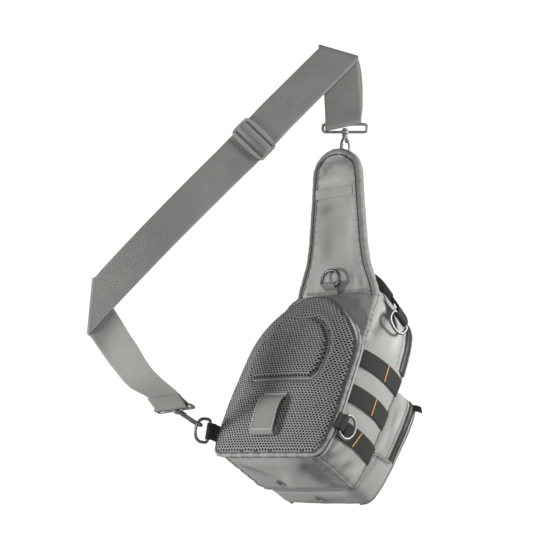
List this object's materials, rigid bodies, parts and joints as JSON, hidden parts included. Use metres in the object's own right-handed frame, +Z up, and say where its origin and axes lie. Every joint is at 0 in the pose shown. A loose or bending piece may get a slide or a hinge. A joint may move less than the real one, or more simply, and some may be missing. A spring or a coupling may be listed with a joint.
{
  "type": "sling pack",
  "caption": "One-shoulder sling pack with a padded back, front pocket, tall yoke and a webbing strap closed by swivel snap hooks.",
  "frame": {"origin": "the inner face of the strap where it folds over what the pack hangs from, at the middle of its width", "axes": "+Z up, the padded back panel that lies on the wearer faces -Y, +X to the pack's right; the pack hangs leaning forward by 31 degrees"},
  "size_m": [0.2926, 0.3525, 0.6168],
  "materials": {
    "grey_fabric": "woven, matt",
    "air_mesh": "open hexagonal mesh over foam",
    "grey_webbing": "ribbed webbing, matt",
    "dark_webbing": "ribbed webbing, matt",
    "zip_tape": "coil zip on tape, matt",
    "satin_metal": "satin",
    "grey_plastic": "moulded, matt"
  },
  "bodies": {
    "pack": {"belt_loop": "grey_webbing", "bottom_grommet": "satin_metal", "front_pocket": "grey_fabric", "lower_hook_body": "satin_metal", "lower_hook_loop": "satin_metal", "lower_ring_left": "satin_metal", "lower_tab_left": "dark_webbing", "lower_tab_right": "dark_webbing", "lumbar_pad": "air_mesh", "main_body": "grey_fabric", "main_zipper": "zip_tape", "mesh_panel": "air_mesh", "pocket_grommet": "satin_metal", "pocket_row_1": "dark_webbing", "pocket_row_2": "dark_webbing", "pocket_zip_tab": "zip_tape", "pocket_zipper": "zip_tape", "shoulder_web_left": "dark_webbing", "shoulder_web_right": "dark_webbing", "side_row_left_1": "dark_webbing", "side_row_left_2": "dark_webbing", "side_row_left_3": "dark_webbing", "side_row_right_1": "dark_webbing", "side_row_right_2": "dark_webbing", "side_row_right_3": "dark_webbing", "strap_doubled": "grey_webbing", "strap_single": "grey_webbing", "strap_slider": "grey_plastic", "tip_ring": "satin_metal", "tip_tab": "grey_webbing", "top_hook_body": "satin_metal", "top_hook_loop": "satin_metal", "upper_tab_left": "dark_webbing", "upper_tab_right": "dark_webbing", "yoke_pad": "grey_fabric", "yoke_ring_tab": "grey_webbing"},
    "top_gate": {"top_hook_gate": "satin_metal"},
    "lower_gate": {"lower_hook_gate": "satin_metal"},
    "upper_right_d": {"upper_ring_right": "satin_metal"},
    "upper_left_d": {"upper_ring_left": "satin_metal"},
    "lower_right_d": {"lower_ring_right": "satin_metal"},
    "yoke_d": {"yoke_ring": "satin_metal"}
  },
  "joints": [
    {"name": "top_gate_hinge", "type": "hinge", "parent": "pack", "child": "top_gate", "pos_m": [0.01061, 0.00558, -0.1215], "axis": [-0.8846, 0.4664, 0], "range_deg": [0, 13], "stiffness_Nm_per_rad": 0.01, "springref_deg": -34.38},
    {"name": "lower_gate_hinge", "type": "hinge", "parent": "pack", "child": "lower_gate", "pos_m": [-0.08832, -0.19791, -0.4882], "axis": [0.1971, 0.4131, 0.8891], "range_deg": [0, 13], "stiffness_Nm_per_rad": 0.01, "springref_deg": -34.38},
    {"name": "upper_right_ring_swing", "type": "hinge", "parent": "pack", "child": "upper_right_d", "pos_m": [0.10277, 0.00962, -0.36354], "axis": [0.1428, 0.6353, -0.7589], "range_deg": [-100, 0]},
    {"name": "upper_left_ring_swing", "type": "hinge", "parent": "pack", "child": "upper_left_d", "pos_m": [-0.08919, 0.00754, -0.36698], "axis": [-0.1292, 0.6323, -0.7638], "range_deg": [0, 100]},
    {"name": "lower_right_ring_swing", "type": "hinge", "parent": "pack", "child": "lower_right_d", "pos_m": [0.11773, -0.11362, -0.49909], "axis": [-0.0208, 0.6157, 0.7877], "range_deg": [-100, 0]},
    {"name": "yoke_ring_swing", "type": "hinge", "parent": "pack", "child": "yoke_d", "pos_m": [0.0078, -0.026, -0.3165], "axis": [1, 0, 0], "range_deg": [0, 120]}
  ]
}
